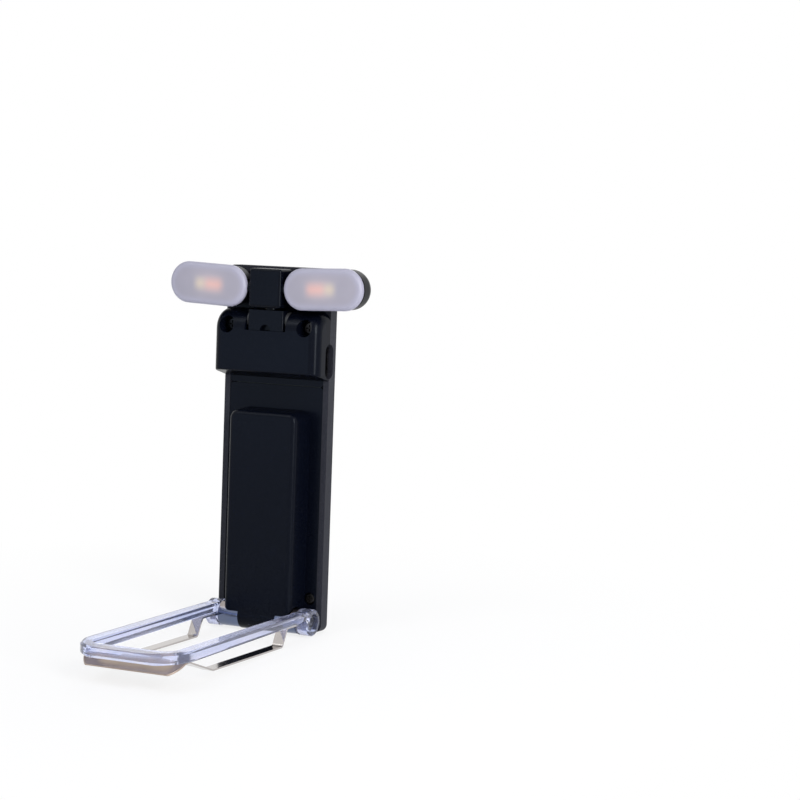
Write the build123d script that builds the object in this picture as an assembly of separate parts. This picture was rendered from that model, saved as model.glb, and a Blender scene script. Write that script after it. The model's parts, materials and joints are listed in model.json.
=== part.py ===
from build123d import *
import math
import os

# A clip-on book light: a flat body with two buttons, a battery box and an upper block,
# a folding neck with two swivelling pill-shaped lamps, and a clear clip with a steel jaw.
# Everything is drawn with the body upright: X runs across it, Z up it, and -Y is the side
# that carries the lamps and the clip. The finished pieces then lean back together, so that
# the light stands on its opened clip. Sizes are in millimetres, angles in degrees.

# How it stands; the origin is on the ground below the middle of its overall box
body_lean = 4.44
ground_lift = 3.5 * math.sin(math.radians(body_lean))
origin_shift = 31.96

# Front shell, the tray on the button side
body_width = 33.0
body_height = 100.5
shell_side = 3.5
shell_chamfer = 1.6
shell_wall = 1.4
shell_rim = 1.7
shell_depth = shell_side + shell_chamfer
corner_radius = 2.2
floor_y = shell_depth - shell_wall
post_radius = 2.3

# Panels that close the shell
panel_gap = 0.1
panel_face = 0.15
panel_back = 1.35
panel_split_z = 67.9

# Upper block
block_depth = 7.4
block_base_z = 69.7
block_face_z = 71.6
block_shoulder_z = 83.0
block_top_z = 88.6
block_edge = 2.8
block_wall = 1.6
housing_screw_x = 12.2
housing_screw_z = 84.2
counterbore_radius = 2.35
counterbore_floor_y = -2.8

# Neck hinge in the block's notch
notch_half = 6.4
neck_pivot_y = -3.8
neck_pivot_z = 85.8
neck_pin_radius = 1.0
neck_pin_half = 8.2
neck_wall_half = 8.6
notch_cavity_radius = 4.6
notch_back_y = -0.45
flap_half = 5.5
flap_front_y = -7.2
flap_barrel_radius = 3.2
flap_toe_z = 83.0
flap_cut_radius = 1.65

# Lamp arm
arm_half = 5.05
arm_front_y = -8.2
arm_back_y = -1.4
arm_bottom_z = 89.3
arm_top_z = 100.0
stem_radius = 1.8

# Lamps
lamp_inner_centre = 6.0
lamp_straight = 12.9
lamp_radius = 5.5
lamp_overhang = 0.55
lamp_back_y = 5.3
lamp_back_round = 4.0
lamp_wall = 1.1
lamp_axis_y = -6.1
lamp_root_x = 5.6
lamp_root_z = 94.6
lamp_rise = 2.1
lens_seat = 1.05
lens_radius = 5.75
lens_thick = 1.5
lens_rounding = 1.2
lens_bore_radius = 3.75
axle_radius = 1.5
axle_bore = 0.8
led_pitch = 2.5
led_size = (2.0, 0.7, 2.4)

# Battery cover and cell
box_half_width = 11.1
box_front_y = -7.5
box_top_z = 61.3
box_foot_z = 2.0
box_corner = 3.0
box_draft = 5.0
cell_size = (17.4, 6.7, 47.0)
cell_centre = (0, -2.55, 33.5)
cover_screw_x = 12.5
cover_screw_z = 9.1

# Clip hinge
hinge_y = -4.0
hinge_z = 3.4
clip_pin_radius = 2.4
clip_pin_half = 15.5
lobe_half = 5.8
lobe_radius = 3.65
barrel_inner_x = 5.9
barrel_outer_x = 12.2
knuckle_inner_x = 12.3
knuckle_outer_x = 16.4
knuckle_radius = 3.7
running_fit = 0.06

# Clear clip frame, measured from the hinge: reach runs out along the clip, rise is towards the body
clip_angle = 91.65
frame_half = 16.5
frame_reach = 73.0
frame_root_low = 0.9
frame_tip_low = 0.05
frame_nose_reach = 71.2
frame_nose_low = 1.15
frame_high = 3.15
arm_width = 4.4
bar_width = 6.0
frame_corner = 12.0
frame_inner_corner = 3.0
frame_top_bevel = 0.6
frame_low_bevel = 0.5

# Steel jaw leaf
leaf_thick = 0.45
leaf_half = 15.0
leaf_strip = 3.2
leaf_opening_reach = 57.0
leaf_lip_reach = 63.0
leaf_tip_reach = 68.5
leaf_tip_corner = 6.0
leaf_bend = 1.0
leaf_barrel_radius = 3.5
tab_inner_x = 11.25
tab_reach = 6.6

# Buttons and electronics
button_group_z = 69.4
button_group_height = 30.7
button_width = 16.5
button_web = 1.7
button_corner = 5.5
button_gap = 0.2
button_flange = 0.45
button_proud = 0.1
symbol_depth = 0.15
power_ring_radius = 3.5
power_ring_line = 0.85
power_bar = (0.55, 1.6, 5.1)
bulb_radius = 2.15
bulb_below_middle = 2.0
stem_half = 1.05
stem_top = 6.2
thermometer_line = 0.6
stem_dot_radius = 0.4
stem_dot_pitch = 1.5
board_y = 1.5
board_thick = 0.8
switch_top_y = 2.75
plunger_top_y = 2.9
usb_z = 75.1
usb_height = 8.94
usb_depth = 3.26
usb_length = 7.3
usb_recess = 1.1
usb_opening = (9.6, 4.4)


def facing(y):
    """Sketch plane at depth y, seen from the lamp side: local x is +X, local y is +Z."""
    return Plane(origin=(0, y, 0), x_dir=(1, 0, 0), z_dir=(0, -1, 0))


def slab(outline, near_y, far_y):
    """Solid with this outline between two depths."""
    return extrude(facing(far_y) * outline, amount=far_y - near_y)


def box_between(low, high):
    """Box between two corners."""
    size = [h - l for l, h in zip(low, high)]
    centre = [(h + l) / 2 for l, h in zip(low, high)]
    return Pos(*centre) * Box(*size)


def rod_x(radius, x_from, x_to, y, z):
    """Cylinder along X."""
    middle = (x_from + x_to) / 2
    return Pos(middle, y, z) * Rot(0, 90, 0) * Cylinder(radius, abs(x_to - x_from))


def rod_y(radius, y_from, y_to, x, z):
    """Cylinder along Y."""
    middle = (y_from + y_to) / 2
    return Pos(x, middle, z) * Rot(90, 0, 0) * Cylinder(radius, abs(y_to - y_from))


def sheet_x(outline, half):
    """Solid whose section across X is this outline, given as local x = Y and local y = Z."""
    return extrude(Plane.YZ * outline, amount=half, both=True)


def both_sides(solid):
    """The solid and its mirror image across the middle of the body."""
    return [solid, mirror(solid, about=Plane.YZ)]


def stand(piece):
    """Lean a finished piece back with the body and set it on the ground."""
    return Pos(0, origin_shift, ground_lift) * Rot(-body_lean, 0, 0) * piece


def unfold(piece):
    """Place a clip piece, drawn level with its hinge at the origin, at the opened angle."""
    return Pos(0, hinge_y, hinge_z) * Rot(clip_angle - 90, 0, 0) * piece


def lamp_place(piece, side):
    """Place a lamp piece, drawn with its axis along +X from its inner end, on one side."""
    placed = Pos(lamp_root_x, lamp_axis_y, lamp_root_z) * Rot(0, -lamp_rise, 0) * piece
    return placed if side > 0 else mirror(placed, about=Plane.YZ)


def button_outline(level, grow=0.0):
    """D-shaped button, rounded at its outer end; level is +1 for the upper one and -1 for the lower."""
    width = button_width + 2 * grow
    height = button_group_height + 2 * grow
    group = RectangleRounded(width, height, button_corner + grow)
    inner_edge = button_web / 2 - grow
    half = height / 2 - inner_edge
    keep = Pos(0, level * (inner_edge + half / 2)) * Rectangle(width, half)
    return Pos(0, button_group_z) * (group & keep)


def front_shell():
    """Tray on the button side with a bevelled rim, posts for the screws and two apertures."""
    outline = Pos(0, body_height / 2) * RectangleRounded(body_width, body_height, corner_radius)
    shell = slab(outline, 0, shell_depth)
    outer_face = shell.faces().sort_by(Axis.Y)[-1]
    shell = chamfer(outer_face.edges(), shell_chamfer)
    inner_width = body_width - 2 * shell_rim
    inner_height = body_height - 2 * shell_rim
    cavity = Pos(0, body_height / 2) * RectangleRounded(inner_width, inner_height, corner_radius - 1.2)
    shell -= slab(cavity, 0, floor_y)
    for x, z, near in ((housing_screw_x, housing_screw_z, panel_back), (cover_screw_x, cover_screw_z, 2.2)):
        post = rod_y(post_radius, near, floor_y + 0.2, x, z)
        post -= rod_y(0.9, near, floor_y - 0.2, x, z)
        for placed in both_sides(post):
            shell += placed
    for level in (1, -1):
        shell -= slab(button_outline(level), floor_y - 1, shell_depth + 1)
    shell -= usb_cutout()
    return shell


def usb_cutout():
    """Round-ended opening in the right side wall for the charging plug."""
    opening = Plane.YZ.offset(body_width / 2 - 2.2) * Pos(usb_y(), usb_z) * Rot(0, 0, 90)
    return extrude(opening * SlotOverall(usb_opening[0], usb_opening[1]), amount=4)


def usb_y():
    """Depth of the charging port's middle, which sits on the circuit board."""
    return board_y - usb_depth / 2


def block_outline():
    """Side profile of the upper block: short slope below, large round shoulder above."""
    shoulder = block_top_z - block_shoulder_z
    foot = (0, block_base_z)
    chin = (-block_depth, block_face_z)
    cheek = (-block_depth, block_shoulder_z)
    crown = (-block_depth + shoulder, block_top_z)
    lines = Line(foot, chin) + Line(chin, cheek)
    lines += RadiusArc(cheek, crown, shoulder, short_sagitta=True)
    lines += Polyline(crown, (0, block_top_z), foot)
    return make_face(lines)


def block_body():
    """Solid upper block with rounded side and lower edges."""
    block = sheet_x(block_outline(), body_width / 2)
    side_edges = []
    for edge in block.edges():
        middle = edge @ 0.5
        on_side = abs(abs(middle.X) - body_width / 2) < 0.01
        if on_side and middle.Z > block_face_z + 0.5 and middle.Y < -0.05:
            side_edges.append(edge)
    block = fillet(side_edges, block_edge)
    chin_edges = [e for e in block.edges() if e.length > body_width / 2
                  and abs((e @ 0.5).Z - block_face_z) < 0.05 and (e @ 0.5).Y < -block_depth + 0.05]
    return fillet(chin_edges, 0.5)


def notch_space():
    """Room for the neck's flap: open above and in front, round below the pivot."""
    slot = box_between((-notch_half, -block_depth - 1, neck_pivot_z), (notch_half, notch_back_y, block_top_z + 1))
    round_part = rod_x(notch_cavity_radius, -notch_half, notch_half, neck_pivot_y, neck_pivot_z)
    round_part &= box_between((-notch_half, -block_depth - 1, 70), (notch_half, notch_back_y, 90))
    return slot + round_part


def control_housing():
    """Upper block and its panel, hollow behind, with a hinge notch and two counterbored holes."""
    block = block_body()
    hollow = box_between((-14.4, -block_depth + block_wall, block_face_z + 0.6),
                         (14.4, panel_back + 1, block_shoulder_z + 0.9))
    hollow -= box_between((-neck_wall_half, -block_depth, neck_pivot_z - notch_cavity_radius - 1.2),
                          (neck_wall_half, panel_back + 1, block_top_z))
    boss = rod_y(3.1, -block_depth, panel_back, housing_screw_x, housing_screw_z)
    for placed in both_sides(boss):
        hollow -= placed
    hollow += box_between((body_width / 2 - usb_length - usb_recess - 0.7, usb_y() - usb_depth / 2 - 0.15, usb_z - usb_height / 2 - 0.1),
                          (body_width / 2 - 2, panel_back + 1, usb_z + usb_height / 2 + 0.1))
    inner_half = body_width / 2 - shell_rim - panel_gap
    panel_top = body_height - shell_rim - panel_gap
    panel_bottom = panel_split_z + panel_gap
    panel_height = panel_top - panel_bottom
    panel_outline = Pos(0, panel_bottom + panel_height / 2) * RectangleRounded(2 * inner_half, panel_height, 0.8)
    panel = slab(panel_outline, panel_face, panel_back)
    joiner = box_between((-inner_half, -0.6, block_base_z + 0.4), (inner_half, panel_back, block_top_z - 0.2))
    housing = block + panel + joiner - hollow - notch_space()
    for x in (-housing_screw_x, housing_screw_x):
        housing -= rod_y(counterbore_radius, -block_depth - 1, counterbore_floor_y, x, housing_screw_z)
        housing -= rod_y(1.1, counterbore_floor_y - 0.1, panel_back + 0.1, x, housing_screw_z)
    housing -= rod_x(neck_pin_radius, -neck_pin_half, neck_pin_half, neck_pivot_y, neck_pivot_z)
    housing -= usb_cutout()
    return housing


def screw(head_radius, head_thick, shank_radius, length, recess):
    """Pan-head screw along +Y from its head at the origin, with a cross recess."""
    head = rod_y(head_radius, 0, head_thick, 0, 0)
    head = fillet(head.edges().sort_by(Axis.Y)[0], head_thick * 0.45)
    wide = head_radius * 0.5
    for spin in (0, 90):
        head -= Rot(0, spin, 0) * Pos(0, recess / 2, 0) * Box(2 * wide, recess, 0.45)
    return head + rod_y(shank_radius, head_thick, head_thick + length, 0, 0)


def housing_screws():
    """The two screws at the bottom of the block's counterbores."""
    head_thick = 1.3
    one = screw(1.9, head_thick, 0.9, panel_back + 1.9 - counterbore_floor_y, 0.6)
    return Compound(both_sides(Pos(housing_screw_x, counterbore_floor_y - head_thick, housing_screw_z) * one))


def cover_screws():
    """The two small screws in the lower corners of the battery cover."""
    head_thick = 0.8
    one = screw(1.5, head_thick, 0.9, 2.0, 0.45)
    return Compound(both_sides(Pos(cover_screw_x, 1.2 - head_thick, cover_screw_z) * one))


def battery_cover():
    """Lower panel with the drafted battery box and the central hinge lobe at its foot."""
    inner_half = body_width / 2 - shell_rim - panel_gap
    panel_bottom = shell_rim + panel_gap
    panel_height = panel_split_z - panel_gap - panel_bottom
    panel_outline = Pos(0, panel_bottom + panel_height / 2) * RectangleRounded(2 * inner_half, panel_height, 0.8)
    cover = slab(panel_outline, panel_face, panel_back)
    box_height = box_top_z - box_foot_z
    base = Pos(0, box_foot_z + box_height / 2) * RectangleRounded(2 * box_half_width, box_height, box_corner)
    raised = extrude(facing(panel_face + 0.3) * base, amount=panel_face + 0.3 - box_front_y, taper=box_draft)
    raised = fillet(raised.faces().sort_by(Axis.Y)[0].edges(), 1.4)
    for placed in both_sides(rod_x(knuckle_radius + 0.1, lobe_half + 0.05, frame_half, hinge_y, hinge_z)):
        raised -= placed
    cover += raised
    cover += rod_x(lobe_radius, -lobe_half, lobe_half, hinge_y, hinge_z)
    cover += box_between((-lobe_half, hinge_y, 1.85), (lobe_half, panel_back, hinge_z + 3.5))
    hollow_low = [c - s / 2 - 0.25 for c, s in zip(cell_centre, cell_size)]
    hollow_high = [c + s / 2 + 0.25 for c, s in zip(cell_centre, cell_size)]
    hollow = box_between((hollow_low[0], hollow_low[1], hollow_low[2]),
                         (hollow_high[0], panel_back + 1, hollow_high[2]))
    cover -= fillet(hollow.edges().filter_by(Axis.Y), 0.8)
    for placed in both_sides(rod_y(2.15, panel_face, 2.2, cover_screw_x, cover_screw_z)):
        cover += placed
    for x in (-cover_screw_x, cover_screw_x):
        cover -= rod_y(1.75, panel_face - 1, 1.2, x, cover_screw_z)
        cover -= rod_y(1.0, 1.1, 2.3, x, cover_screw_z)
    cover -= rod_x(clip_pin_radius + running_fit, -lobe_half - 1, lobe_half + 1, hinge_y, hinge_z)
    return cover


def battery_cell():
    """Flat lithium cell in the battery box."""
    cell = Box(*cell_size)
    cell = fillet(cell.edges().filter_by(Axis.Z), 2.2)
    return Pos(*cell_centre) * cell


def circuit_board():
    """Board behind the panels, narrowed between the upper screw posts."""
    wide = box_between((-13.4, board_y, 50.0), (13.4, board_y + board_thick, 80.6))
    narrow = box_between((-9.4, board_y, 80.0), (9.4, board_y + board_thick, 93.0))
    return wide + narrow


def button_switches():
    """Low tactile switches under the two buttons."""
    switches = []
    for level in (1, -1):
        z = button_middle(level)
        base = box_between((-2.6, board_y + board_thick, z - 2.6), (2.6, switch_top_y, z + 2.6))
        switches.append(base + rod_y(1.2, switch_top_y, plunger_top_y, 0, z))
    return Compound(switches)


def button_middle(level):
    """Height of a button's middle."""
    return button_group_z + level * (button_group_height + button_web) / 4


def power_sign():
    """Open ring with a bar standing in its gap."""
    ring = Circle(power_ring_radius + power_ring_line / 2) - Circle(power_ring_radius - power_ring_line / 2)
    gap = make_face(Polyline((0, 0), (-3.0, 6.0), (3.0, 6.0), close=True))
    width, low, high = power_bar
    return ring - gap + Pos(0, (low + high) / 2) * Rectangle(width, high - low)


def thermometer_form(grow):
    """Solid outline of a thermometer round its bulb, grown or shrunk."""
    half = stem_half + grow
    top = stem_top - stem_half
    return Circle(bulb_radius + grow) + Pos(0, top / 2) * Rectangle(2 * half, top) + Pos(0, top) * Circle(half)


def thermometer_sign():
    """Thermometer drawn as a line, with its bead and three marks up the stem."""
    line = thermometer_form(thermometer_line / 2) - thermometer_form(-thermometer_line / 2)
    line += Circle(0.75) - Circle(0.35)
    for i in range(3):
        line += Pos(0, bulb_below_middle + i * stem_dot_pitch) * Circle(stem_dot_radius)
    return Pos(0, -bulb_below_middle) * line


def button(level, sign):
    """Button plate in its aperture with its sunk sign, and a retaining flange behind it."""
    outer_y = shell_depth + button_proud
    face = slab(button_outline(level, -button_gap), floor_y - 0.1, outer_y)
    face = fillet(face.faces().sort_by(Axis.Y)[-1].edges(), 0.25)
    face -= slab(Pos(0, button_middle(level)) * sign, outer_y - symbol_depth, outer_y + 1)
    flange = slab(button_outline(level, button_flange), floor_y - 0.45, floor_y - 0.05)
    return face + flange


def usb_receptacle():
    """Charging socket: rounded metal shell with its contact tongue."""
    plane = Plane.YZ.offset(body_width / 2 - usb_recess - usb_length)
    place = plane * Pos(usb_y(), usb_z) * Rot(0, 0, 90)
    outer = extrude(place * RectangleRounded(usb_height, usb_depth, 1.35), amount=usb_length)
    inner = extrude(place * RectangleRounded(usb_height - 0.6, usb_depth - 0.6, 1.1), amount=usb_length)
    backing = extrude(place * RectangleRounded(usb_height - 0.6, usb_depth - 0.6, 1.1), amount=1.2)
    tongue = extrude(place * Rectangle(usb_height - 2.3, 0.7), amount=usb_length - 0.7)
    return outer - inner + backing + tongue


def neck_flap():
    """Lower half of the neck: barrel on the pin, flat front, half-round relief at its toe."""
    flat = box_between((-flap_half, flap_front_y, flap_toe_z), (flap_half, neck_pivot_y, block_top_z))
    flat += box_between((-flap_half, neck_pivot_y, neck_pivot_z),
                        (flap_half, neck_pivot_y + 2.9, block_top_z))
    front_sides = [e for e in flat.edges().filter_by(Axis.Z) if (e @ 0.5).Y < flap_front_y + 0.05]
    flat = fillet(front_sides, 0.5)
    flap = flat + rod_x(flap_barrel_radius, -flap_half, flap_half, neck_pivot_y, neck_pivot_z)
    flap -= rod_x(neck_pin_radius + running_fit, -flap_half - 1, flap_half + 1, neck_pivot_y, neck_pivot_z)
    flap -= rod_y(flap_cut_radius, flap_front_y - 1, flap_front_y + 1.4, 0, flap_toe_z)
    flap -= Pos(0, neck_pivot_y, block_top_z - 0.4) * Cylinder(stem_radius, 2.0)
    return flap


def neck_pin():
    """Steel pin across the notch."""
    return rod_x(neck_pin_radius, -neck_pin_half, neck_pin_half, neck_pivot_y, neck_pivot_z)


def neck_washers():
    """Friction washers between the flap and the notch walls."""
    washer = rod_x(2.4, flap_half + 0.05, notch_half, neck_pivot_y, neck_pivot_z)
    washer -= rod_x(neck_pin_radius, flap_half, notch_half + 1, neck_pivot_y, neck_pivot_z)
    return Compound(both_sides(washer))


def lamp_arm():
    """Upper half of the neck, a rounded block that carries both lamps, with its stem below."""
    arm = box_between((-arm_half, arm_front_y, arm_bottom_z), (arm_half, arm_back_y, arm_top_z))
    arm = fillet(arm.edges(), 0.8)
    stem_bottom = block_top_z - 1.4
    stem_height = arm_bottom_z + 0.5 - stem_bottom
    arm += Pos(0, neck_pivot_y, stem_bottom + stem_height / 2) * Cylinder(stem_radius, stem_height)
    for side in (1, -1):
        bore = rod_x(axle_radius + running_fit, -2.4, 2.0, 0, 0)
        arm -= lamp_place(bore, side)
    return arm


def lamp_axle(side):
    """Hollow stub axle fixed in the lamp's inner end and turning in the arm."""
    axle = rod_x(axle_radius, -2.3, axle_end(), 0, 0)
    axle -= rod_x(axle_bore, -3, axle_end() + 1, 0, 0)
    return lamp_place(axle, side)


def axle_end():
    """Distance from the lamp's root to the axle's inner end, just inside the shell's wall."""
    return lamp_inner_centre - lamp_radius + lamp_wall + 0.1


def lamp_middle():
    """Distance of the lens's middle from the lamp's root."""
    return lamp_inner_centre + lamp_straight / 2


def pill(radius, longer=0.0):
    """Round-ended outline of a lamp seen from the front; longer moves its outer end out."""
    return Pos(lamp_middle() + longer / 2, 0) * SlotCenterToCenter(lamp_straight + longer, 2 * radius)


def lamp_form(inset):
    """Pill-shaped body of a lamp with a deeply rounded back, inset all over by a wall."""
    form = slab(pill(lamp_radius - inset, lamp_overhang), -lens_seat, lamp_back_y - inset)
    return fillet(form.faces().sort_by(Axis.Y)[-1].edges(), lamp_back_round - inset)


def lamp_shell(side):
    """Rounded back of a lamp, hollow, open where the lens sits."""
    shell = lamp_form(0) - lamp_form(lamp_wall)
    collar = rod_x(axle_radius + 0.9, lamp_inner_centre - lamp_radius + 0.3, axle_end(), 0, 0)
    shell += collar & box_between((-1, -lens_seat, -lamp_radius), (lamp_middle(), lamp_radius, lamp_radius))
    shell -= rod_x(axle_radius, -1, axle_end() + 0.1, 0, 0)
    return lamp_place(shell, side)


def lamp_lens(side):
    """Frosted lens: a pill-shaped cap with a rounded edge and a shallow skirt inside the shell."""
    front = -lens_seat - lens_thick
    cap = slab(pill(lens_radius), front, -lens_seat)
    cap = fillet(cap.faces().sort_by(Axis.Y)[0].edges(), lens_rounding)
    cap -= slab(pill(lens_bore_radius), front + 0.7, -lens_seat)
    skirt = slab(pill(lamp_radius - lamp_wall - 0.1), -lens_seat, -lens_seat + 0.6)
    skirt -= slab(pill(lens_bore_radius), -lens_seat, -lens_seat + 0.6)
    lens = cap + skirt
    lens -= rod_x(axle_radius + 1.0, -1, axle_end() + 0.2, 0, 0)
    return lamp_place(lens, side)


def led_board(side):
    """White board inside a lamp."""
    return lamp_place(slab(pill(lamp_radius - lamp_wall - 0.2), 0.2, 1.0), side)


def led_chips(side):
    """Row of four light-emitting chips on a lamp's board."""
    chips = []
    for i in range(4):
        x = lamp_middle() + (i - 1.5) * led_pitch
        chips.append(lamp_place(Pos(x, 0.2 - led_size[1] / 2, 0) * Box(*led_size), side))
    return Compound(chips)


def clip_pin():
    """Hinge pin of the clip, with a dished end each side."""
    pin = rod_x(clip_pin_radius, -clip_pin_half, clip_pin_half, hinge_y, hinge_z)
    pin = chamfer(pin.edges().filter_by(GeomType.CIRCLE), 0.3)
    for x in (-clip_pin_half, clip_pin_half):
        pin -= rod_x(1.3, x - 0.4, x + 0.4, hinge_y, hinge_z)
    return pin


def clip_frame():
    """Clear U-shaped frame with bevelled edges, hinge knuckles and inner sleeves."""
    back_reach = -2.0
    plan = Pos(0, -(frame_reach + back_reach) / 2) * Rectangle(2 * frame_half, frame_reach - back_reach)
    bar = extrude(Plane.XY.offset(frame_tip_low) * plan, amount=frame_high - frame_tip_low)
    bar -= sheet_x(underside(), frame_half + 1)
    front_corners = [e for e in bar.edges().filter_by(Axis.Z) if (e @ 0.5).Y < -frame_reach + 0.1]
    bar = fillet(front_corners, frame_corner)
    opening_reach = frame_reach - bar_width
    hole_plan = Pos(0, -opening_reach / 2 + 5) * Rectangle(2 * opening_half(), opening_reach + 10)
    hole = extrude(Plane.XY.offset(-2) * hole_plan, amount=8)
    inner_corners = [e for e in hole.edges().filter_by(Axis.Z) if (e @ 0.5).Y < -opening_reach + 0.1]
    bar -= fillet(inner_corners, frame_inner_corner)
    bar = bevel_rim(bar)
    bar -= rod_x(knuckle_radius - 0.6, -frame_half - 1, frame_half + 1, 0, 0)
    bar -= rod_x(leaf_barrel_radius + 2 * running_fit, -knuckle_inner_x, knuckle_inner_x, 0, 0)
    bar &= box_between((-frame_half, -frame_reach, -5), (frame_half, 0.5, 5))
    knuckle = rod_x(knuckle_radius, knuckle_inner_x, knuckle_outer_x, 0, 0)
    knuckle = chamfer(knuckle.edges().filter_by(GeomType.CIRCLE), 0.35)
    sleeve = rod_x(leaf_barrel_radius - leaf_thick - running_fit, barrel_inner_x, knuckle_inner_x + 0.1, 0, 0)
    for placed in both_sides(knuckle + sleeve):
        bar += placed
    bar -= rod_x(clip_pin_radius + running_fit, -frame_half - 1, frame_half + 1, 0, 0)
    return unfold(bar)


def underside():
    """Space below the frame, which thickens towards its front bar and has a bevelled nose."""
    root = -2.5
    nose = frame_nose_reach
    tip = frame_reach + 1
    slope = (frame_nose_low - frame_low(nose)) / (frame_reach - nose)
    return make_face(Polyline((-root, frame_low(root)), (-nose, frame_low(nose)),
                              (-tip, frame_nose_low + slope), (-tip, -6), (-root, -6), close=True))


def frame_low(reach):
    """Height of the frame's underside at one reach."""
    return frame_root_low + (frame_tip_low - frame_root_low) * reach / frame_reach


def bevel_rim(bar):
    """Bevel the frame's upper edges all round and its lower edges outside."""
    upper = [e for e in bar.edges()
             if abs((e @ 0.5).Z - frame_high) < 0.01 and abs((e @ 0).Z - frame_high) < 0.01 and (e @ 0.5).Y < 1.9]
    bar = chamfer(upper, frame_top_bevel)
    lower = []
    for edge in bar.edges():
        middle = edge @ 0.5
        low = abs(middle.Z - frame_low(-middle.Y)) < 0.02 and abs((edge @ 0).Z - frame_low(-(edge @ 0).Y)) < 0.02
        outside = abs(middle.X) > frame_half - 4 and abs(middle.X) > opening_half() + 0.5
        before_nose = middle.Y > -frame_nose_reach + 0.5
        if low and outside and before_nose and middle.Y < 1.9:
            lower.append(edge)
    return chamfer(lower, frame_low_bevel)


def opening_half():
    """Half the width of the frame's window."""
    return frame_half - arm_width


def leaf_section():
    """Folded section of the jaw: root, jog, run, ramp up to the frame and flared lip."""
    half = leaf_thick / 2
    root = frame_low(12) - half - 0.25
    grip = frame_low(leaf_lip_reach) - half - 0.08
    middle = FilletPolyline(
        (-leaf_barrel_radius + 0.3, root),
        (-12.0, root),
        (-14.6, -4.4),
        (-50.5, -4.2),
        (-leaf_lip_reach + 0.9, grip),
        (-leaf_lip_reach - 0.9, grip),
        (-leaf_tip_reach, -2.6),
        radius=leaf_bend)
    return trace(middle, line_width=leaf_thick)


def clip_leaf():
    """Sprung steel jaw bent from one sheet: two strips, a wide flared lip and two rolled barrels."""
    sheet = sheet_x(leaf_section(), leaf_half)
    root_reach = 3.0
    length = leaf_tip_reach + 1 - root_reach
    plan = Pos(0, -root_reach - length / 2) * Rectangle(2 * leaf_half, length)
    blank = extrude(Plane.XY.offset(-8) * plan, amount=16)
    tip_corners = [e for e in blank.edges().filter_by(Axis.Z) if (e @ 0.5).Y < -leaf_tip_reach]
    blank = fillet(tip_corners, leaf_tip_corner)
    strip_inner = leaf_half - leaf_strip
    window_plan = Pos(0, -leaf_opening_reach / 2) * Rectangle(2 * strip_inner, leaf_opening_reach)
    window = extrude(Plane.XY.offset(-9) * window_plan, amount=18)
    far_corners = [e for e in window.edges().filter_by(Axis.Z) if (e @ 0.5).Y < -leaf_opening_reach + 0.1]
    window = fillet(far_corners, 3.0)
    for placed in both_sides(box_between((tab_inner_x, -tab_reach, -1), (strip_inner + 0.1, 0, 1))):
        window -= placed
    leaf = sheet & (blank - window)
    for placed in both_sides(box_between((knuckle_inner_x - 0.05, -knuckle_radius - 0.35, -5),
                                         (leaf_half + 1, 1, 5))):
        leaf -= placed
    barrel = rod_x(leaf_barrel_radius, barrel_inner_x, barrel_outer_x, 0, 0)
    bore = rod_x(leaf_barrel_radius - leaf_thick, barrel_inner_x - 1, barrel_outer_x + 1, 0, 0)
    for placed in both_sides(barrel):
        leaf += placed
    for placed in both_sides(bore):
        leaf -= placed
    return unfold(leaf)


def main():
    pieces = {
        "front_shell": front_shell(),
        "control_housing": control_housing(),
        "battery_cover": battery_cover(),
        "power_button": button(1, power_sign()),
        "colour_button": button(-1, thermometer_sign()),
        "button_switches": button_switches(),
        "circuit_board": circuit_board(),
        "usb_receptacle": usb_receptacle(),
        "battery_cell": battery_cell(),
        "housing_screws": housing_screws(),
        "cover_screws": cover_screws(),
        "neck_flap": neck_flap(),
        "neck_pin": neck_pin(),
        "neck_washers": neck_washers(),
        "lamp_arm": lamp_arm(),
        "clip_pin": clip_pin(),
        "clip_frame": clip_frame(),
        "clip_leaf": clip_leaf(),
    }
    for name, side in (("left", -1), ("right", 1)):
        pieces[name + "_lamp_shell"] = lamp_shell(side)
        pieces[name + "_lamp_lens"] = lamp_lens(side)
        pieces[name + "_lamp_axle"] = lamp_axle(side)
        pieces[name + "_led_board"] = led_board(side)
        pieces[name + "_led_chips"] = led_chips(side)
    os.makedirs("parts", exist_ok=True)
    for name, piece in pieces.items():
        export_step(stand(piece), f"parts/{name}.step")
        print(name)


if __name__ == "__main__":
    main()
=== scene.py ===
import bpy
import json
import math
from mathutils import Matrix, Vector

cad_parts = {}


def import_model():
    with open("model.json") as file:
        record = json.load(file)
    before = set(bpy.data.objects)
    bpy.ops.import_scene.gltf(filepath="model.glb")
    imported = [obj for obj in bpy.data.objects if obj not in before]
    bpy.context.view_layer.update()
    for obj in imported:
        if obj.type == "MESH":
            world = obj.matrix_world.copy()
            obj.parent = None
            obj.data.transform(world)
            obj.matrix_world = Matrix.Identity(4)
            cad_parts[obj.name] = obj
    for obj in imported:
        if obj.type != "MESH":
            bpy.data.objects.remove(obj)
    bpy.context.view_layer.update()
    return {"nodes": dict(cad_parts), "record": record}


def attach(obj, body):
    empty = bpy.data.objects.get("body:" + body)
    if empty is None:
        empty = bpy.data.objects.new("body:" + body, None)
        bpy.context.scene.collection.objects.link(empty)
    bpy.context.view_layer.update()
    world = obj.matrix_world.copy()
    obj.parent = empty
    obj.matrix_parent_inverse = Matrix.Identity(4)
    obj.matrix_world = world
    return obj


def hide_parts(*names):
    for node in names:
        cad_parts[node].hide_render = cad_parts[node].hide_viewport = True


# The clip-on book light, standing on its opened clip.
# The shared frame is in metres, and so are the places read by the materials. The values below
# are in the body's own upright axes and in millimetres where they say so. The body leans back
# about X, and body_matrix turns a point of its upright axes into the shared frame.

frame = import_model()

millimetre = 0.001
millimetres_per_metre = 1000.0
sides = {"left": -1, "right": 1}

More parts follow.
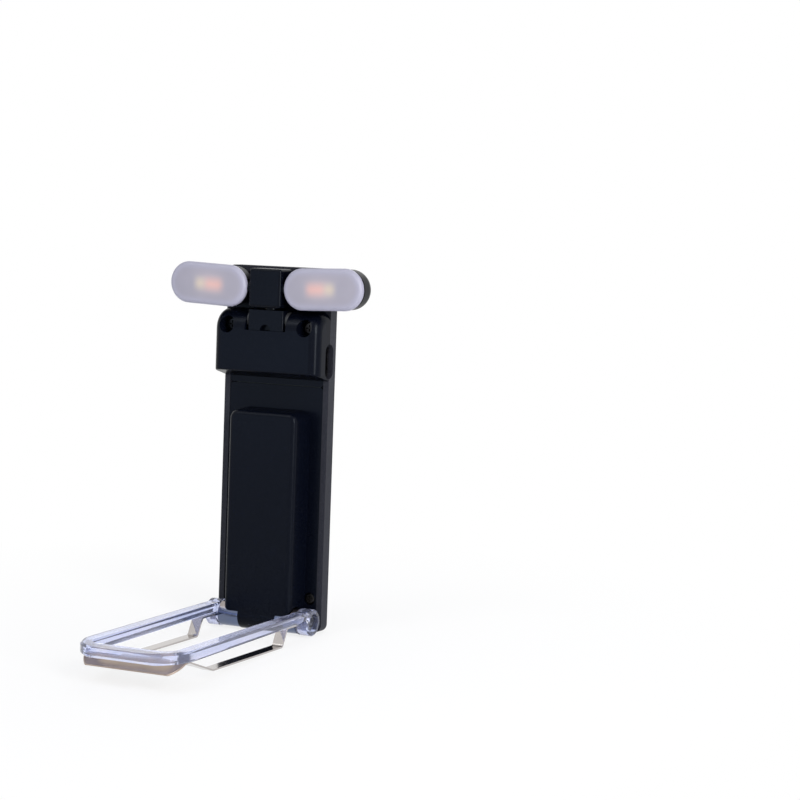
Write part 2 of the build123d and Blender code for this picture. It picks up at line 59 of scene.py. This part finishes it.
# Lean of the body, and its place in millimetres: a point on the body's bottom that is
# heel_depth behind its origin is at ground level
body_lean = math.radians(4.44)
origin_shift = 31.96
heel_depth = 3.5
ground_lift = heel_depth * math.sin(body_lean)
body_turn = Matrix.Rotation(-body_lean, 3, "X")

# Camera, from the fit of the photograph: place in metres, angles in degrees, focal length and
# width of the photograph in pixels, width of the sensor in millimetres, and the range that is
# seen in metres
camera_place = (0.34001, -0.55460, 0.16437)
camera_azimuth = 27.0
camera_elevation = 8.41
camera_focal = 2485.0
photo_width = 800
sensor_width = 36.0
nearest_seen = 0.01
farthest_seen = 20

# Lamps, in millimetres: the root of the right lamp's axis in the body's axes, its rise towards
# the lamp's end, and the middle of the lens along it
lamp_root = (5.6, -6.1, 94.6)
lamp_rise = math.radians(2.1)
lamp_middle = 12.45

# Lens, in millimetres: its pill outline, and its depths, measured backwards from the lamp's axis
lens_radius = 5.75
lens_half_straight = 6.45
lens_front = -2.55
lens_back = -1.05
lens_rounding = 1.2
lens_bore_radius = 3.75
lens_bore_depth = 0.8
lens_end_steps = 28
lens_edge_steps = 8
lens_sharp_angle = math.radians(40)

# Buttons, in millimetres: place of their outer face in the body's axes, and depth of the signs
button_face = 5.2
sign_depth = 0.15

# Places in metres on the steel leaf along Y and Z where its roughness and its painted reflections change,
# and how softly
tongue_root = -0.033
tongue_blend = 0.003
barrel_front = 0.0205
barrel_blend = 0.002
barrel_top = 0.0066
barrel_top_blend = 0.0012

# Moulded plastics: name, colour, roughness, scale and depth of the grain, faint marks, gloss
plastics = {
    "button_side_shell": ("Charcoal shell", (0.0180, 0.0182, 0.0250), 0.5, 3000, 0.5, 0.3, 0.16),
    "dark_housing": ("Blue-black housing", (0.0010, 0.0018, 0.0054), 0.24, 4200, 0.06, 0.4, 0.085),
    "button_plastic": ("Button plastic", (0.0150, 0.0153, 0.0200), 0.42, 3600, 0.3, 0.2, 0.14),
    "neck_plastic": ("Neck plastic", (0.0010, 0.0017, 0.0046), 0.22, 4600, 0.05, 0.3, 0.085),
    # Lamp shells: painted paler than the neck, for the light on their side
    "lamp_plastic": ("Lamp plastic painted paler", (0.0085, 0.0083, 0.0092), 0.36, 4600, 0.1, 0.3, 0.14),
    "switch_body": ("Switch body", (0.03, 0.03, 0.03), 0.45, 4000, 0.2, 0.2, 0.4),
    "washer_nylon": ("Washer nylon", (0.05, 0.05, 0.052), 0.5, 3500, 0.2, 0.2, 0.3),
}
plastic_reflection = (0.82, 0.90, 0.97)
# Painted shade for the engraved grooves of the buttons' signs
groove_shade_colour = (0.001, 0.001, 0.0015)

# Metals: name, colour, roughness, scale of the fine lines along each axis, and their depth
strip_colour = (0.50, 0.47, 0.455)
strip_roughness = 0.10
metals = {
    "spring_steel": ("Spring steel", strip_colour, strip_roughness, (2500, 60, 2500), 0.3),
    "pin_steel": ("Turned steel", (0.26, 0.27, 0.31), 0.22, (4000, 300, 300), 0.5),
    "screw_steel": ("Blackened screws", (0.016, 0.017, 0.02), 0.3, (900, 900, 900), 0.4),
    # The socket's steel is painted darker, for the shade inside its opening
    "socket_steel": ("Socket steel painted darker", (0.22, 0.22, 0.24), 0.25, (120, 2600, 2600), 0.4),
}
# Painted reflections on the leaf: tan on the tongue, blue-grey on the barrels, and a paler painted
# highlight along the barrels' tops
tongue_painted_reflection = (0.42, 0.34, 0.285)
barrel_painted_reflection = (0.13, 0.16, 0.25)
barrel_top_painted_highlight = (0.36, 0.32, 0.31)

# Circuit boards: name, colour of the mask, colour of the tracks under it
boards = {
    "board_green": ("Green board", (0.002, 0.009, 0.004), (0.004, 0.016, 0.007)),
    "board_white": ("White board", (0.72, 0.72, 0.7), (0.62, 0.62, 0.6)),
}

# Clear and frosted plastic
clear_index = 1.49
clear_colours = ((0.58, 0.65, 0.93), (0.74, 0.745, 0.92))
frosted_colours = ((0.385, 0.37, 0.44), (0.42, 0.40, 0.47))
# Painted highlight towards the lens's rim
frosted_rim_highlight = (0.46, 0.45, 0.56)

# Chips seen through the frosted lens as soft patches: place along the lens, half length and
# softness in millimetres, strength, colour
chip_half_height = 1.15
chip_patches = (
    (-0.8, 3.6, 3.0, 0.6, (0.80, 0.67, 0.68)),
    (-1.9, 2.7, 1.5, 0.55, (1.0, 0.54, 0.43)),
    (2.3, 1.4, 1.4, 0.55, (0.88, 0.74, 0.52)),
)

# Chips themselves: two shades of each kind, and the frame round them
amber_colours = ((0.90, 0.22, 0.02), (0.98, 0.34, 0.05))
yellow_colours = ((0.90, 0.60, 0.05), (0.98, 0.74, 0.12))
chip_frame_colour = (0.8, 0.8, 0.76)

# Pouch of the battery cell
wrap_colours = ((0.45, 0.47, 0.5), (0.6, 0.62, 0.65))

# Lights: name, place and target in metres, size in metres, power in watts, colour
white = (1, 1, 1)
lights = (
    ("key", (-0.30, -0.45, 0.75), (0, 0, 0.05), (0.28, 0.28), 1.0, white),
    ("side", (0.72, -0.40, 0.36), (0, 0, 0.06), (0.24, 0.66), 6.4, white),
    ("back", (-0.1, 0.7, 0.6), (0, 0, 0.05), (0.5, 0.3), 0.9, white),
    ("low", (-0.55, -0.80, 0.12), (0, 0, 0.02), (0.5, 0.16), 0.25, (0.45, 0.66, 1.0)),
)

# Surroundings as light on the object: colour and strength
surround_colour = (0.93, 0.95, 1)
surround_strength = 0.62

# Floor, in metres. The share of its brightness that is its own is floor_glow under the object,
# which keeps the shadow faint, and grows to the whole between the two distances.
floor_half_size = 3.0
floor_level = -0.0001
floor_colour = (0.93, 0.93, 0.94)
floor_roughness = 0.8
floor_glow = 0.8
floor_near = 0.05
floor_far = 0.16


def body_matrix():
    """Matrix from the body's upright millimetres to the shared frame's metres."""
    lean = Matrix.Rotation(-body_lean, 4, "X")
    shift = Matrix.Translation((0, origin_shift, ground_lift))
    return Matrix.Scale(millimetre, 4) @ shift @ lean


def lamp_vectors(side):
    """Root, along and up vectors of one lamp in the shared frame."""
    root = body_matrix() @ Vector((side * lamp_root[0], lamp_root[1], lamp_root[2]))
    along = body_turn @ Vector((side * math.cos(lamp_rise), 0, math.sin(lamp_rise)))
    up = body_turn @ Vector((-side * math.sin(lamp_rise), 0, math.cos(lamp_rise)))
    return root, along, up


# Node tree helpers

def put(tree, socket, value):
    """Link another socket to a socket, or set it to a value; a colour is red, green and blue."""
    if isinstance(value, bpy.types.NodeSocket):
        tree.links.new(value, socket)
    elif socket.type == "RGBA":
        socket.default_value = (*value, 1)
    else:
        socket.default_value = value


def fill(tree, node, **inputs):
    """Set or link the named inputs of a node; an underscore stands for a space."""
    for name, value in inputs.items():
        put(tree, node.inputs[name.replace("_", " ")], value)


def add(tree, kind, **inputs):
    """New node with its named inputs filled."""
    node = tree.nodes.new(kind)
    fill(tree, node, **inputs)
    return node


def math_node(tree, operation, a, b=0.0):
    """Result of one arithmetic step."""
    node = tree.nodes.new("ShaderNodeMath")
    node.operation = operation
    put(tree, node.inputs[0], a)
    put(tree, node.inputs[1], b)
    return node.outputs[0]


def total(tree, first, *others):
    """Sum of several values, each step held between 0 and 1."""
    result = first
    for value in others:
        result = math_node(tree, "ADD", result, value)
        result.node.use_clamp = True
    return result


def vector_node(tree, operation, a, b=(0, 0, 0)):
    """Result of one step on two vectors, or on one for its length."""
    node = tree.nodes.new("ShaderNodeVectorMath")
    node.operation = operation
    put(tree, node.inputs[0], a)
    put(tree, node.inputs[1], b)
    return node.outputs["Value" if operation in ("DOT_PRODUCT", "LENGTH") else "Vector"]


def mix_colour(tree, factor, a, b):
    """Blend of two colours."""
    node = tree.nodes.new("ShaderNodeMix")
    node.data_type = "RGBA"
    fill(tree, node, Factor=factor, A=a, B=b)
    return node.outputs["Result"]


def mix_shader(tree, factor, a, b):
    """Blend of the shaders of two nodes."""
    node = tree.nodes.new("ShaderNodeMixShader")
    put(tree, node.inputs[0], factor)
    put(tree, node.inputs[1], a.outputs[0])
    put(tree, node.inputs[2], b.outputs[0])
    return node.outputs[0]


def remap(tree, value, low, high, to_low=0.0, to_high=1.0):
    """Value moved from one range to another and held within it."""
    node = tree.nodes.new("ShaderNodeMapRange")
    fill(tree, node, Value=value, From_Min=low, From_Max=high, To_Min=to_low, To_Max=to_high)
    return node.outputs["Result"]


def spread(tree, value, to_low=0.0, to_high=1.0):
    """Noise, most of which lies between 0.3 and 0.7, moved to a whole range."""
    return remap(tree, value, 0.3, 0.7, to_low, to_high)


def smooth(tree, value, low, high):
    """Smooth step from 0 at low to 1 at high; low may be the larger."""
    node = tree.nodes.new("ShaderNodeMapRange")
    node.interpolation_type = "SMOOTHSTEP"
    fill(tree, node, Value=value, From_Min=low, From_Max=high)
    return node.outputs["Result"]


def object_place(tree):
    """Place of a surface point in the shared frame at rest, which moves with its piece."""
    return tree.nodes.new("ShaderNodeTexCoord").outputs["Object"]


def stretched(tree, place, scale):
    """Place scaled apart along each axis."""
    return add(tree, "ShaderNodeMapping", Vector=place, Scale=scale).outputs["Vector"]


def distance_along(tree, place, origin, direction):
    """Millimetres from an origin to a place, measured along a direction."""
    offset = vector_node(tree, "SUBTRACT", place, origin)
    metres = vector_node(tree, "DOT_PRODUCT", offset, direction)
    return math_node(tree, "MULTIPLY", metres, millimetres_per_metre)


def noise(tree, place, scale=1.0, detail=2.0, roughness=0.5):
    """Noise value at one scale."""
    node = add(tree, "ShaderNodeTexNoise", Vector=place, Scale=scale, Detail=detail, Roughness=roughness)
    return node.outputs["Fac"]


def relief(tree, height, strength, distance):
    """Normal of a surface with fine relief."""
    node = add(tree, "ShaderNodeBump", Strength=strength, Distance=distance, Height=height)
    return node.outputs["Normal"]


# Node groups

# What a surface group puts out, and the roughness of its crisper noises
surface_outputs = {"Colour": "Color", "Roughness": "Float", "Normal": "Vector"}
crisp = 0.6


def new_group(name, inputs, outputs):
    """Empty node group with named sockets, given as name and kind, and its own ends of them."""
    group = bpy.data.node_groups.new(name, "ShaderNodeTree")
    for label, kind in inputs.items():
        group.interface.new_socket(name=label, in_out="INPUT", socket_type="NodeSocket" + kind)
    for label, kind in outputs.items():
        group.interface.new_socket(name=label, in_out="OUTPUT", socket_type="NodeSocket" + kind)
    start = group.nodes.new("NodeGroupInput")
    end = group.nodes.new("NodeGroupOutput")
    return group, start.outputs, end.inputs


def moulded_group():
    """Moulded plastic: fine texture in relief, slow sheen changes and a few faint marks."""
    inputs = {
        "Colour": "Color",
        "Roughness": "Float",
        "Grain Scale": "Float",
        "Grain Depth": "Float",
        "Marks": "Float",
    }
    group, given, result = new_group("Moulded surface", inputs, surface_outputs)
    grain_detail = 3.0
    grain_change = 0.03
    grain_height = 0.00005
    sheen_scale = 35.0
    sheen_band = (0.35, 0.65)
    sheen_change = 0.05
    mark_scale = (900, 900, 60)
    mark_band = (0.62, 0.72)
    mark_polish = 0.06
    speck_colour = (0.16, 0.17, 0.2)
    speck_paleness = 0.5
    speck_band = (0.45, 0.75)
    speck_by_depth = 0.4
    speck_least = 0.03
    place = object_place(group)
    grain = noise(group, place, given["Grain Scale"], grain_detail, crisp)
    sheen = remap(group, noise(group, place, sheen_scale), *sheen_band, -sheen_change, sheen_change)
    marks = remap(group, noise(group, stretched(group, place, mark_scale)), *mark_band)
    marks = math_node(group, "MULTIPLY", marks, given["Marks"])
    polish = math_node(group, "MULTIPLY", marks, -mark_polish)
    uneven = spread(group, grain, -grain_change, grain_change)
    put(group, result["Roughness"], total(group, given["Roughness"], sheen, polish, uneven))
    lighter = mix_colour(group, speck_paleness, given["Colour"], speck_colour)
    share = total(group, math_node(group, "MULTIPLY", given["Grain Depth"], speck_by_depth), speck_least)
    specks = math_node(group, "MULTIPLY", remap(group, grain, *speck_band), share)
    put(group, result["Colour"], mix_colour(group, specks, given["Colour"], lighter))
    put(group, result["Normal"], relief(group, grain, given["Grain Depth"], grain_height))
    return group


def metal_group():
    """Rolled or turned metal: fine lines along one axis, soft smudges and small pits."""
    inputs = {"Colour": "Color", "Roughness": "Float", "Line Scale": "Vector", "Line Depth": "Float"}
    group, given, result = new_group("Worked metal", inputs, surface_outputs)
    line_detail = 3.0
    line_change = (-0.02, 0.03)
    line_height = 0.00002
    smudge_scale = 90.0
    smudge_detail = 3.0
    smudge_band = (0.4, 0.7)
    smudge_change = (-0.03, 0.06)
    pit_scale = 1600.0
    pit_detail = 1.0
    pit_band = (0.68, 0.74)
    pit_change = 0.05
    tarnish_colour = (0.22, 0.2, 0.18)
    tarnish_depth = 0.75
    tarnish_band = (0.45, 0.75)
    tarnish_most = 0.25
    place = object_place(group)
    lines = noise(group, stretched(group, place, given["Line Scale"]), 1.0, line_detail, crisp)
    smudges = noise(group, place, smudge_scale, smudge_detail)
    pits = remap(group, noise(group, place, pit_scale, pit_detail), *pit_band)
    smeared = remap(group, smudges, *smudge_band, *smudge_change)
    lined = spread(group, lines, *line_change)
    pitted = math_node(group, "MULTIPLY", pits, pit_change)
    put(group, result["Roughness"], total(group, given["Roughness"], smeared, lined, pitted))
    darker = mix_colour(group, tarnish_depth, given["Colour"], tarnish_colour)
    shade = remap(group, smudges, *tarnish_band, 0.0, tarnish_most)
    put(group, result["Colour"], mix_colour(group, shade, given["Colour"], darker))
    put(group, result["Normal"], relief(group, lines, given["Line Depth"], line_height))
    return group


def lamp_place_group():
    """Place within a lamp, in millimetres: along from the lens's middle outwards, and across it."""
    inputs = {"Root": "Vector", "Along": "Vector", "Up": "Vector"}
    group, given, result = new_group("Lamp place", inputs, {"Along": "Float", "Across": "Float"})
    place = object_place(group)
    from_root = distance_along(group, place, given["Root"], given["Along"])
    put(group, result["Along"], math_node(group, "SUBTRACT", from_root, lamp_middle))
    put(group, result["Across"], distance_along(group, place, given["Root"], given["Up"]))
    return group


def add_group(tree, group, **inputs):
    """Node that uses a group, with its named inputs filled."""
    node = tree.nodes.new("ShaderNodeGroup")
    node.name = group.name
    node.node_tree = group
    fill(tree, node, **inputs)
    return node


# Materials

def shader_material(name):
    """New material and its tree and main shader."""
    material = bpy.data.materials.new(name)
    material.use_nodes = True
    tree = material.node_tree
    return material, tree, tree.nodes["Principled BSDF"]


def plastic(group, name, colour, roughness, grain_scale, grain_depth, marks, gloss):
    """Moulded plastic in one colour."""
    material, tree, shader = shader_material(name)
    surface = add_group(tree, group, Colour=colour, Roughness=roughness, Grain_Scale=grain_scale,
                        Grain_Depth=grain_depth, Marks=marks)
    fill(tree, shader, Base_Color=surface.outputs["Colour"], Roughness=surface.outputs["Roughness"],
         Normal=surface.outputs["Normal"], Specular_IOR_Level=gloss, Specular_Tint=plastic_reflection)
    return material


def metal(group, name, colour, roughness, line_scale, line_depth):
    """Metal with lines along one axis."""
    material, tree, shader = shader_material(name)
    surface = add_group(tree, group, Colour=colour, Roughness=roughness, Line_Scale=line_scale,
                        Line_Depth=line_depth)
    fill(tree, shader, Base_Color=surface.outputs["Colour"], Roughness=surface.outputs["Roughness"],
         Normal=surface.outputs["Normal"], Metallic=1.0)
    return material


def shade_sign_grooves(material):
    """Paint shade into the engraved lines of the buttons' signs, which lie below the outer face."""
    groove_shade_strength = 0.8
    shade_start = 0.3 * sign_depth
    shade_end = 0.8 * sign_depth
    tree = material.node_tree
    shader = tree.nodes["Principled BSDF"]
    surface = tree.nodes["Moulded surface"]
    face = body_matrix() @ Vector((0, button_face, 0))
    outward = body_turn @ Vector((0, 1, 0))
    height = distance_along(tree, object_place(tree), face, outward)
    engraved = smooth(tree, height, -shade_start, -shade_end)
    # Painted shade in the grooves, growing with their depth
    painted_groove_shade = math_node(tree, "MULTIPLY", engraved, groove_shade_strength)
    put(tree, shader.inputs["Base Color"], mix_colour(tree, painted_groove_shade, surface.outputs["Colour"], groove_shade_colour))


def paint_leaf_reflections(material):
    """Leaf: bright strips, a satin tongue with a painted tan reflection, and barrels with a painted
    blue-grey reflection and a paler painted highlight on top.
    """
    tongue_satin = 0.26
    barrel_satin = 0.08
    tree = material.node_tree
    place = add(tree, "ShaderNodeSeparateXYZ", Vector=object_place(tree)).outputs
    tongue = smooth(tree, place["Y"], tongue_root, tongue_root - tongue_blend)
    barrel = smooth(tree, place["Y"], barrel_front, barrel_front + barrel_blend)
    top_highlight_share = smooth(tree, place["Z"], barrel_top - barrel_top_blend, barrel_top)
    # Painted reflections: blue-grey on the barrels with a paler painted highlight on top, and tan on the
    # tongue
    barrel_painted_light = mix_colour(tree, top_highlight_share, barrel_painted_reflection, barrel_top_painted_highlight)
    flat = mix_colour(tree, tongue, strip_colour, tongue_painted_reflection)
    tongue_rough = math_node(tree, "MULTIPLY", tongue, tongue_satin)
    barrel_rough = math_node(tree, "MULTIPLY", barrel, barrel_satin)
    fill(tree, tree.nodes["Worked metal"], Colour=mix_colour(tree, barrel, flat, barrel_painted_light),
         Roughness=total(tree, tongue_rough, strip_roughness, barrel_rough))


def clear_plastic():
    """Clear injection moulding with faint flow lines, slightly milky."""
    material, tree, shader = shader_material("Clear plastic")
    flow_scale = (260, 40, 260)
    flow_strength = 0.25
    flow_height = 0.0001
    fine_scale = 700.0
    roughness = (0.02, 0.08)
    transmission = 0.93
    place = object_place(tree)
    flow = noise(tree, stretched(tree, place, flow_scale))
    fine = noise(tree, place, fine_scale)
    fill(tree, shader, Base_Color=mix_colour(tree, spread(tree, flow), *clear_colours),
         Roughness=spread(tree, fine, *roughness), Normal=relief(tree, flow, flow_strength, flow_height),
         IOR=clear_index, Transmission_Weight=transmission)
    return material


def lamp_place(tree, group, side):
    """Places along and across one lamp, in millimetres."""
    root, along, up = lamp_vectors(side)
    place = add_group(tree, group, Root=root, Along=along, Up=up).outputs
    return place["Along"], place["Across"]


def soft_patch(tree, along, across, middle, half_length, softness):
    """Blurred rectangle of light round one place along the lamp."""
    dark_from = chip_half_height + 1.3 * softness
    bright_to = chip_half_height - 0.9 * softness
    from_middle = math_node(tree, "ABSOLUTE", math_node(tree, "SUBTRACT", along, middle))
    from_axis = math_node(tree, "ABSOLUTE", across)
    lengthwise = smooth(tree, from_middle, half_length + softness, half_length - softness)
    upright = smooth(tree, from_axis, dark_from, bright_to)
    return math_node(tree, "MULTIPLY", lengthwise, upright)


def rim_highlight_share(tree, along, across):
    """Share of the painted highlight: 1 at the rim of the lens, falling to 0 further in."""
    rim_inner = lens_radius - 2.6
    rim_outer = lens_radius - 0.4
    past_end = math_node(tree, "SUBTRACT", math_node(tree, "ABSOLUTE", along), lens_half_straight)
    past_end = math_node(tree, "MAXIMUM", past_end, 0.0)
    squares = math_node(tree, "ADD", math_node(tree, "MULTIPLY", past_end, past_end),
                        math_node(tree, "MULTIPLY", across, across))
    from_middle = math_node(tree, "SQRT", squares)
    return smooth(tree, from_middle, rim_inner, rim_outer)


def frosted_lens(name, side, place_group):
    """Frosted diffuser: etched, with a painted highlight paler towards its rim, and the chips showing as
    blurred warm patches.
    """
    material, tree, shader = shader_material("Frosted lens " + name)
    etch_scale = 5200.0
    etch_strength = 0.12
    etch_height = 0.00004
    cloud_scale = 120.0
    roughness = (0.36, 0.5)
    transmission = 0.25
    place = object_place(tree)
    along, across = lamp_place(tree, place_group, side)
    etched = noise(tree, place, etch_scale)
    cloud = noise(tree, place, cloud_scale)
    body = mix_colour(tree, spread(tree, cloud), *frosted_colours)
    # Painted highlight, paler towards the rim
    body = mix_colour(tree, rim_highlight_share(tree, along, across), body, frosted_rim_highlight)
    for middle, half_length, softness, strength, colour in chip_patches:
        patch = soft_patch(tree, along, across, middle, half_length, softness)
        body = mix_colour(tree, math_node(tree, "MULTIPLY", patch, strength), body, colour)
    fill(tree, shader, Base_Color=body, Roughness=spread(tree, etched, *roughness),
         Normal=relief(tree, etched, etch_strength, etch_height), IOR=clear_index,
         Transmission_Weight=transmission)
    return material


def led_phosphor(name, side, place_group):
    """Phosphor of the unlit chips: amber near the neck, yellow further out, grained."""
    material, tree, shader = shader_material("LED phosphor " + name)
    grain_scale = 2600.0
    yellow_band = (-0.1, 0.1)
    frame_band = (0.85, 1.0)
    roughness = (0.35, 0.5)
    place = object_place(tree)
    along, across = lamp_place(tree, place_group, side)
    grain = spread(tree, noise(tree, place, grain_scale))
    outer = remap(tree, along, *yellow_band)
    rim = remap(tree, math_node(tree, "ABSOLUTE", across), *frame_band)
    amber = mix_colour(tree, grain, *amber_colours)
    yellow = mix_colour(tree, grain, *yellow_colours)
    body = mix_colour(tree, outer, amber, yellow)
    fill(tree, shader, Base_Color=mix_colour(tree, rim, body, chip_frame_colour),
         Roughness=remap(tree, grain, 0.0, 1.0, *roughness))
    return material


def board(name, mask, track):
    """Circuit board with faint tracks under its mask."""
    material, tree, shader = shader_material(name)
    track_scale = 420.0
    track_band = (0.03, 0.06)
    track_strength = 0.3
    track_height = 0.00003
    gloss_scale = 900.0
    roughness = (0.28, 0.4)
    place = object_place(tree)
    cells = add(tree, "ShaderNodeTexVoronoi", Vector=place, Scale=track_scale)
    cells.feature = "DISTANCE_TO_EDGE"
    lines = remap(tree, cells.outputs["Distance"], *track_band, 1.0, 0.0)
    fill(tree, shader, Base_Color=mix_colour(tree, lines, mask, track),
         Roughness=spread(tree, noise(tree, place, gloss_scale), *roughness),
         Normal=relief(tree, lines, track_strength, track_height))
    return material


def cell_wrap():
    """Silvery pouch of the battery cell, with soft creases."""
    material, tree, shader = shader_material("Cell wrap")
    crease_scale = 180.0
    crease_detail = 4.0
    crease_strength = 0.4
    crease_height = 0.0002
    roughness = (0.25, 0.42)
    crease = noise(tree, object_place(tree), crease_scale, crease_detail, crisp)
    fill(tree, shader, Base_Color=mix_colour(tree, spread(tree, crease), *wrap_colours),
         Roughness=spread(tree, crease, *roughness),
         Normal=relief(tree, crease, crease_strength, crease_height), Metallic=1.0)
    return material


def dress_nodes():
    """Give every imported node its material, and each lamp its whole lens."""
    moulded = moulded_group()
    worked = metal_group()
    place_group = lamp_place_group()
    by_slot = {slot: plastic(moulded, *values) for slot, values in plastics.items()}
    by_slot.update({slot: metal(worked, *values) for slot, values in metals.items()})
    by_slot.update({slot: board(*values) for slot, values in boards.items()})
    by_slot["clear_plastic"] = clear_plastic()
    by_slot["cell_wrap"] = cell_wrap()
    shade_sign_grooves(by_slot["button_plastic"])
    paint_leaf_reflections(by_slot["spring_steel"])
    by_side = {}
    for name, side in sides.items():
        by_side[name] = {
            "frosted_lens": frosted_lens(name, side, place_group),
            "led_phosphor": led_phosphor(name, side, place_group),
        }
    # The lamp shells get a plastic painted paler than the neck's, for the light on their side, and lenses
    # and chips have a material for each side
    for part in frame["record"]["subparts"]:
        node = frame["nodes"][part["node"]]
        slot = "lamp_plastic" if part["node"].endswith("lamp_shell") else part["material_slot"]
        materials = by_slot if slot in by_slot else by_side[part["node"].split("_")[0]]
        node.data.materials.clear()
        node.data.materials.append(materials[slot])
    for name, side in sides.items():
        whole_lens(name, side, by_side[name]["frosted_lens"])


# Added pieces

def pill_ring(radius):
    """Pill outline of one radius, as (along, across) from the lens's middle in millimetres."""
    points = []
    for end in (1, -1):
        for i in range(lens_end_steps + 1):
            angle = math.pi * (i / lens_end_steps - 0.5)
            along = lens_half_straight + radius * math.cos(angle)
            points.append((end * along, end * radius * math.sin(angle)))
    return points


def lens_profile():
    """Section of the lens as (depth, radius), from its front face round its edge into its recess."""
    section = []
    for i in range(lens_edge_steps + 1):
        angle = i / lens_edge_steps * math.pi / 2
        depth = lens_front + lens_rounding * (1 - math.cos(angle))
        section.append((depth, lens_radius - lens_rounding * (1 - math.sin(angle))))
    section.append((lens_back, lens_radius))
    section.append((lens_back, lens_bore_radius))
    section.append((lens_back - lens_bore_depth, lens_bore_radius))
    return section


def lens_faces(count, rings):
    """Faces of a stack of rings with the same count of points, closed at both ends."""
    faces = [list(range(count)), list(range((rings - 1) * count, rings * count))[::-1]]
    for ring in range(rings - 1):
        for i in range(count):
            j = (i + 1) % count
            here = ring * count
            after = here + count
            faces.append([here + j, here + i, after + i, after + j])
    return faces


def whole_lens(name, side, material):
    """Frosted lens, whole all round, in place of the solid one that is notched for the axle."""
    root, along, up = lamp_vectors(side)
    front = body_turn @ Vector((0, -1, 0))
    section = lens_profile()
    corners = []
    for depth, radius in section:
        for run, across in pill_ring(radius):
            offset = (lamp_middle + run) * along + across * up - depth * front
            corners.append(root + millimetre * offset)
    faces = lens_faces(len(corners) // len(section), len(section))
    # The left lens is the mirror image of the right one, so its faces turn the other way
    if side < 0:
        faces = [face[::-1] for face in faces]
    mesh = bpy.data.meshes.new(name + "_lens_whole")
    mesh.from_pydata(corners, [], faces)
    mesh.shade_smooth()
    mesh.set_sharp_from_angle(angle=lens_sharp_angle)
    mesh.materials.append(material)
    piece = bpy.data.objects.new(name + "_lens_whole", mesh)
    bpy.context.collection.objects.link(piece)
    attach(piece, name + "_lamp")
    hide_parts(name + "_lamp_lens")


# Studio

def camera():
    """Camera at the photograph's place and angle."""
    data = bpy.data.cameras.new("camera")
    data.sensor_width = sensor_width
    data.lens = camera_focal * sensor_width / photo_width
    data.clip_start = nearest_seen
    data.clip_end = farthest_seen
    piece = bpy.data.objects.new("camera", data)
    piece.location = camera_place
    piece.rotation_euler = (math.radians(90 - camera_elevation), 0, math.radians(camera_azimuth))
    bpy.context.collection.objects.link(piece)
    bpy.context.scene.camera = piece


def area_light(name, place, target, size, power, colour):
    """Soft rectangular light aimed at a point."""
    data = bpy.data.lights.new(name, "AREA")
    data.shape = "RECTANGLE"
    data.size = size[0]
    data.size_y = size[1]
    data.energy = power
    data.color = colour
    piece = bpy.data.objects.new(name, data)
    piece.location = place
    piece.rotation_euler = (Vector(target) - Vector(place)).to_track_quat("-Z", "Y").to_euler()
    bpy.context.collection.objects.link(piece)


def seen_rays(tree):
    """1 for rays from the camera, in mirrors and through clear plastic, 0 for light on the object."""
    path = tree.nodes.new("ShaderNodeLightPath")
    seen = math_node(tree, "MAXIMUM", path.outputs["Is Camera Ray"], path.outputs["Is Transmission Ray"])
    return math_node(tree, "MAXIMUM", seen, path.outputs["Is Glossy Ray"])


def world():
    """White to the camera, in mirrors and through clear plastic; a softer grey as light."""
    shade = bpy.data.worlds.new("studio")
    bpy.context.scene.world = shade
    shade.use_nodes = True
    tree = shade.node_tree
    tree.nodes.clear()
    bright = add(tree, "ShaderNodeBackground", Color=white, Strength=1.0)
    soft = add(tree, "ShaderNodeBackground", Color=surround_colour, Strength=surround_strength)
    add(tree, "ShaderNodeOutputWorld", Surface=mix_shader(tree, seen_rays(tree), soft, bright))


def floor():
    """Plain pale floor that turns into the white background away from the object."""
    size = floor_half_size
    corners = [(-size, -size, 0), (size, -size, 0), (size, size, 0), (-size, size, 0)]
    mesh = bpy.data.meshes.new("floor")
    mesh.from_pydata(corners, [], [(0, 1, 2, 3)])
    piece = bpy.data.objects.new("floor", mesh)
    piece.location.z = floor_level
    bpy.context.collection.objects.link(piece)
    material, tree, shader = shader_material("Floor")
    fill(tree, shader, Base_Color=floor_colour, Roughness=floor_roughness, Specular_IOR_Level=0.0)
    distance = vector_node(tree, "LENGTH", object_place(tree))
    away = remap(tree, distance, floor_near, floor_far, floor_glow, 1.0)
    share = math_node(tree, "MULTIPLY", away, seen_rays(tree))
    bright = add(tree, "ShaderNodeEmission", Color=white, Strength=1.0)
    put(tree, tree.nodes["Material Output"].inputs["Surface"], mix_shader(tree, share, shader, bright))
    mesh.materials.append(material)


def main():
    """Studio and dressed pieces."""
    camera()
    world()
    floor()
    for light in lights:
        area_light(*light)
    dress_nodes()
    bpy.context.scene.view_settings.view_transform = "Standard"


main()
